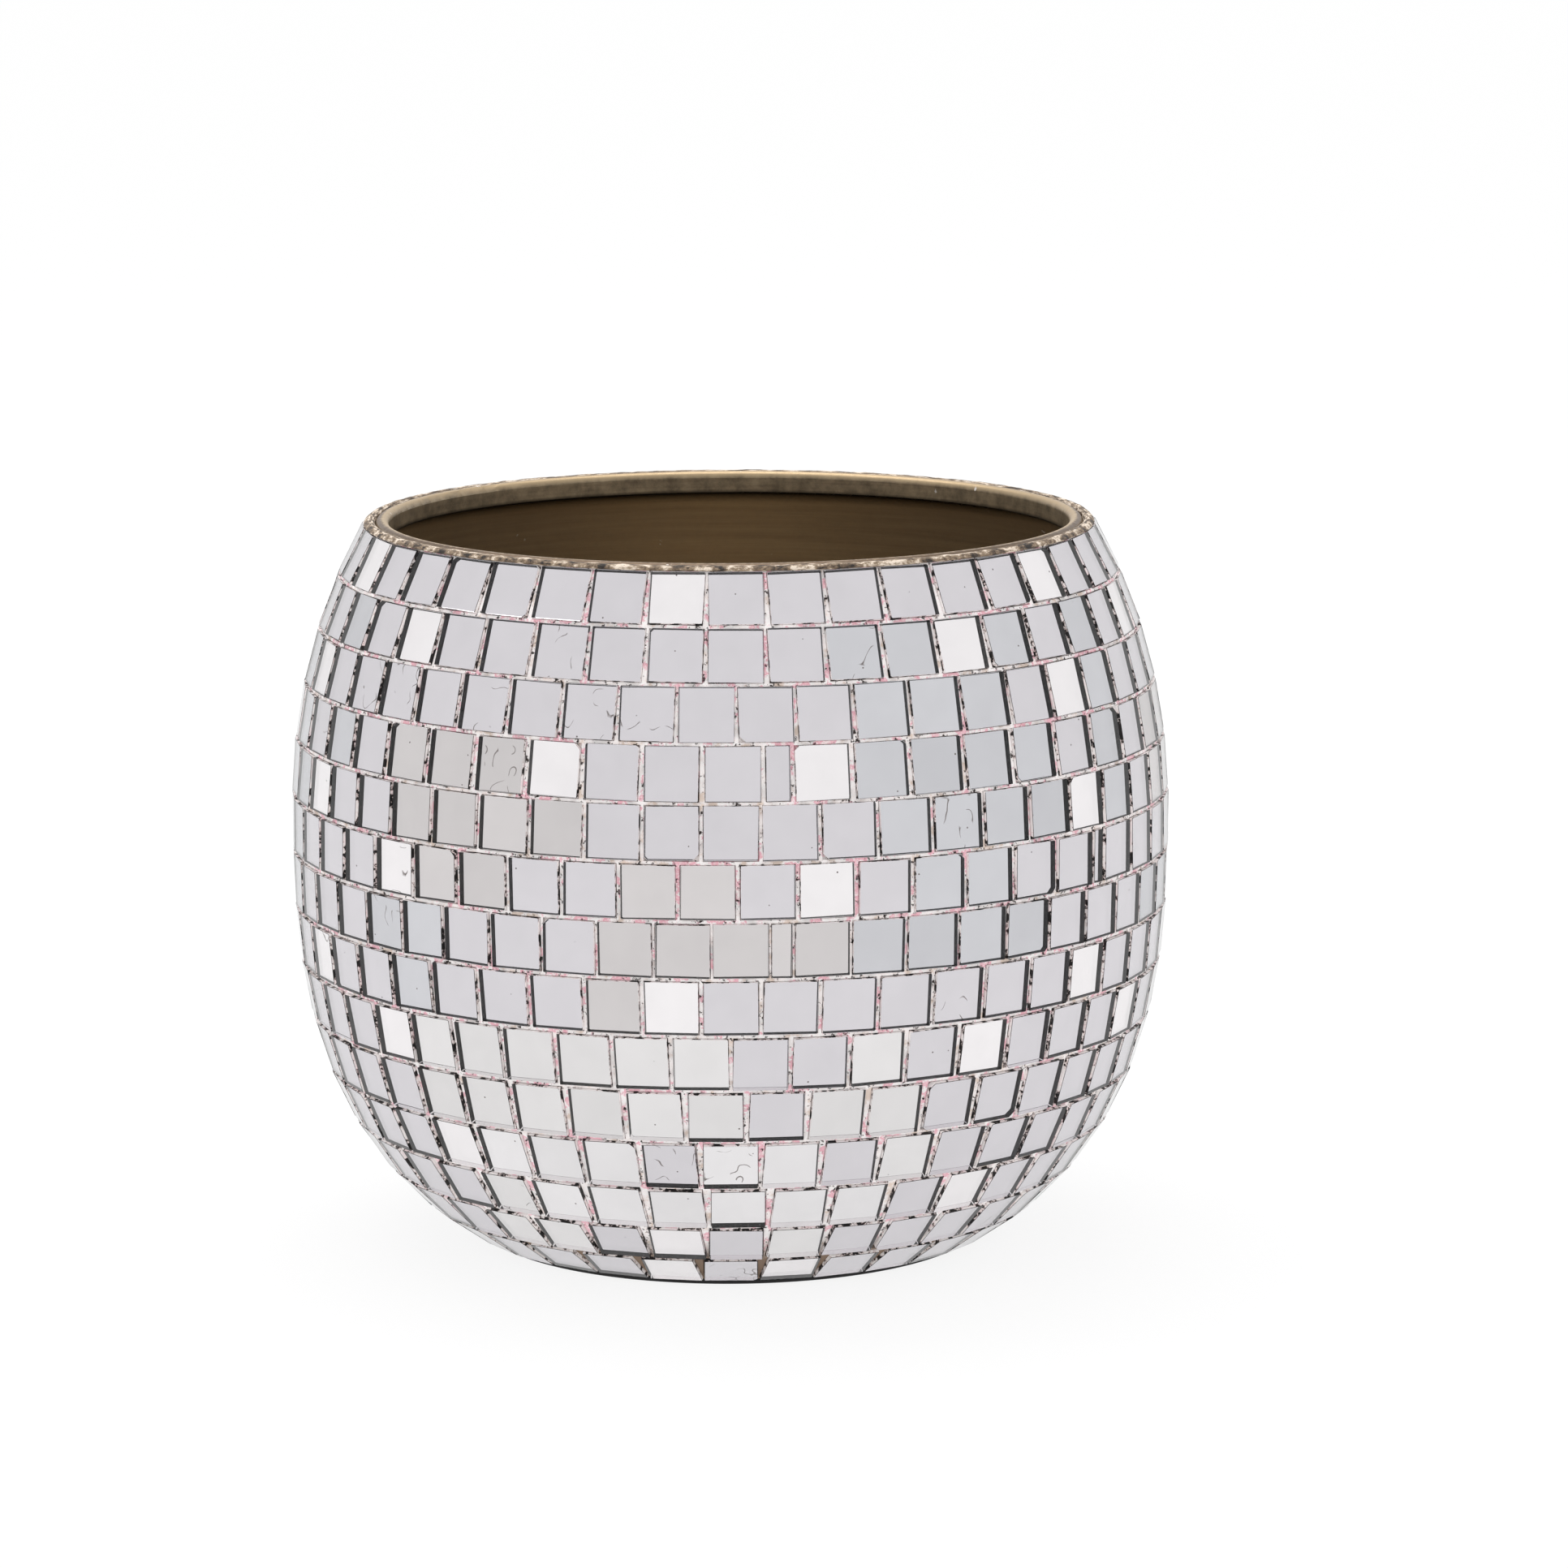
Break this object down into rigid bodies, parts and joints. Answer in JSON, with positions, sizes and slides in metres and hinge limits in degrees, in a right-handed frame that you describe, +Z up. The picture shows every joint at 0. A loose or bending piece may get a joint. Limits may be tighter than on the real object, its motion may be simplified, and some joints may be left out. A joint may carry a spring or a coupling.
{
  "type": "mirror-mosaic plant pot",
  "caption": "Round-bellied open plant pot, its outside covered in rows of small flat mirror tiles set in mortar, with a folded bronze rim and a thin foot pad.",
  "frame": {"origin": "centre of the foot pad's underside, on the pot's axis", "axes": "+Z up along the pot's axis, out of the mouth"},
  "size_m": [0.2497, 0.2497, 0.2069],
  "materials": {
    "bronze_paint": "satin",
    "rim_putty": "matte",
    "foot_pad": "matte",
    "mirror_glass": "polished",
    "mortar": "matte"
  },
  "bodies": {
    "root": {"pot_shell": "bronze_paint", "rim_putty": "rim_putty", "base_pad": "foot_pad", "mirror_row_01": "mirror_glass", "mirror_row_02": "mirror_glass", "mirror_row_03": "mirror_glass", "mirror_row_04": "mirror_glass", "mirror_row_05": "mirror_glass", "mirror_row_06": "mirror_glass", "mirror_row_07": "mirror_glass", "mirror_row_08": "mirror_glass", "mirror_row_09": "mirror_glass", "mirror_row_10": "mirror_glass", "mirror_row_11": "mirror_glass", "mirror_row_12": "mirror_glass", "mirror_row_13": "mirror_glass", "mirror_row_14": "mirror_glass", "mortar_band_01": "mortar", "mortar_band_02": "mortar", "mortar_band_03": "mortar", "mortar_band_04": "mortar", "mortar_band_05": "mortar", "mortar_band_06": "mortar", "mortar_band_07": "mortar", "mortar_band_08": "mortar", "mortar_band_09": "mortar", "mortar_band_10": "mortar", "mortar_band_11": "mortar", "mortar_band_12": "mortar", "mortar_band_13": "mortar", "mortar_band_14": "mortar"}
  },
  "joints": []
}
